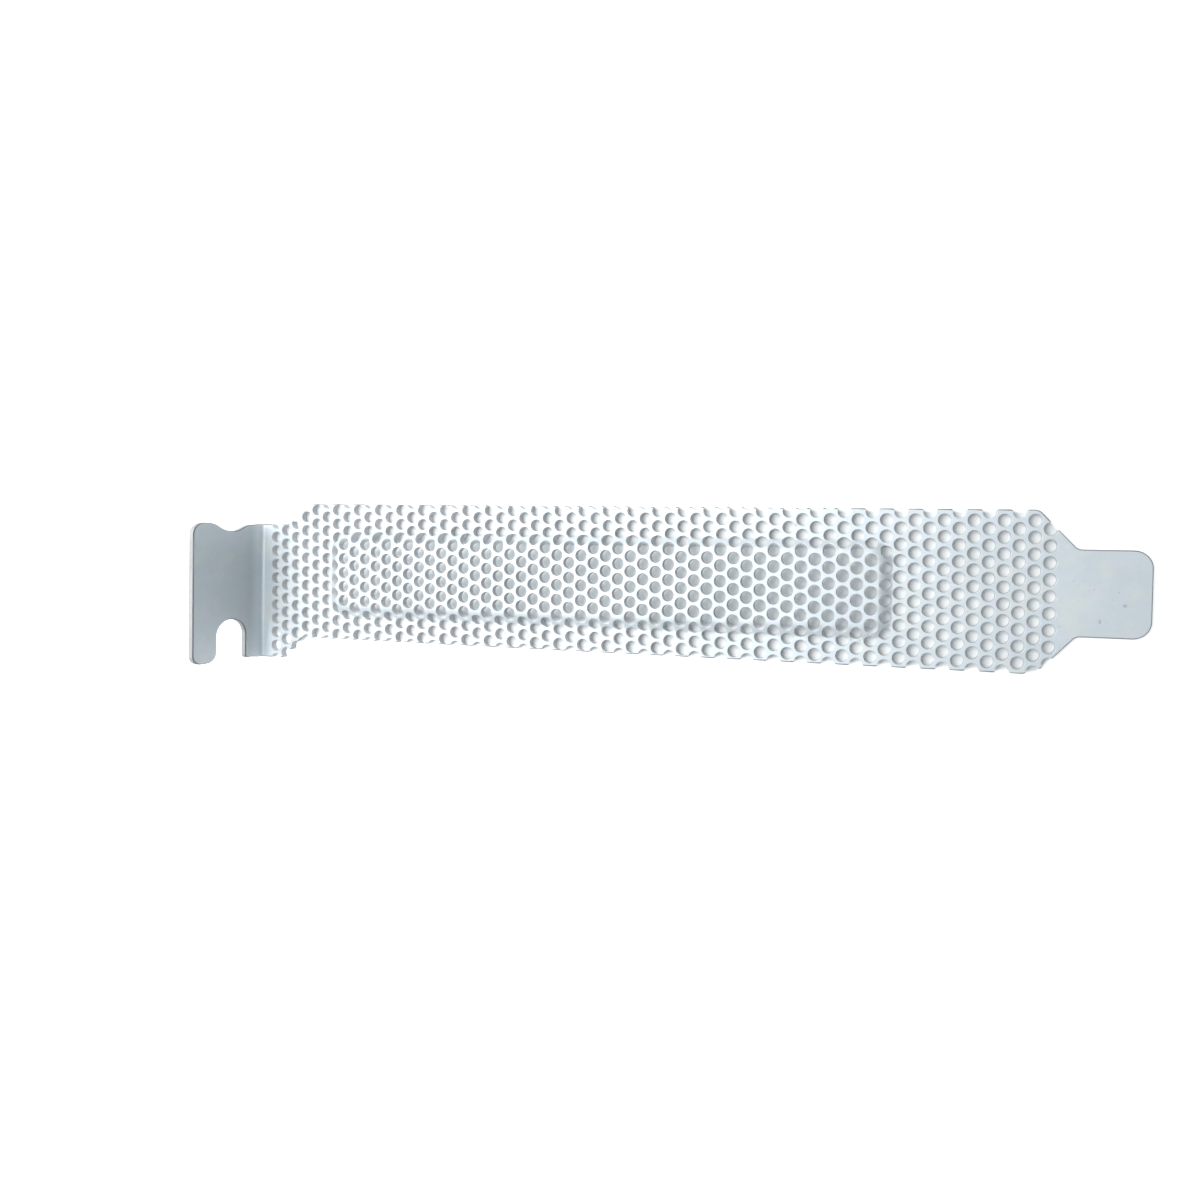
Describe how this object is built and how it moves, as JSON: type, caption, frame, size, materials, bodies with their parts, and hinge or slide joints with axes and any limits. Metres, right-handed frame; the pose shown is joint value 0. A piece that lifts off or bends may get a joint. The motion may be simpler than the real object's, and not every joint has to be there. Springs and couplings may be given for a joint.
{
  "type": "pci slot cover bracket",
  "caption": "Perforated steel slot cover for a computer case, folded at one end into a screw tab with an open slot and necked at the other into a flat tongue.",
  "frame": {"origin": "middle of the bounding box at the back face of the plate, on which the cover lies", "axes": "+X along the plate from the screw tab to the tongue, +Y across the plate, +Z out of the plate's front face, the way the tab and the raised panel point"},
  "size_m": [0.12, 0.0224, 0.0114],
  "materials": {
    "zinc_plated_steel": "bright zinc plating over thin cold-rolled steel, satin with a faint cool tint"
  },
  "bodies": {
    "root": {"slot_cover": "zinc_plated_steel"}
  },
  "joints": []
}
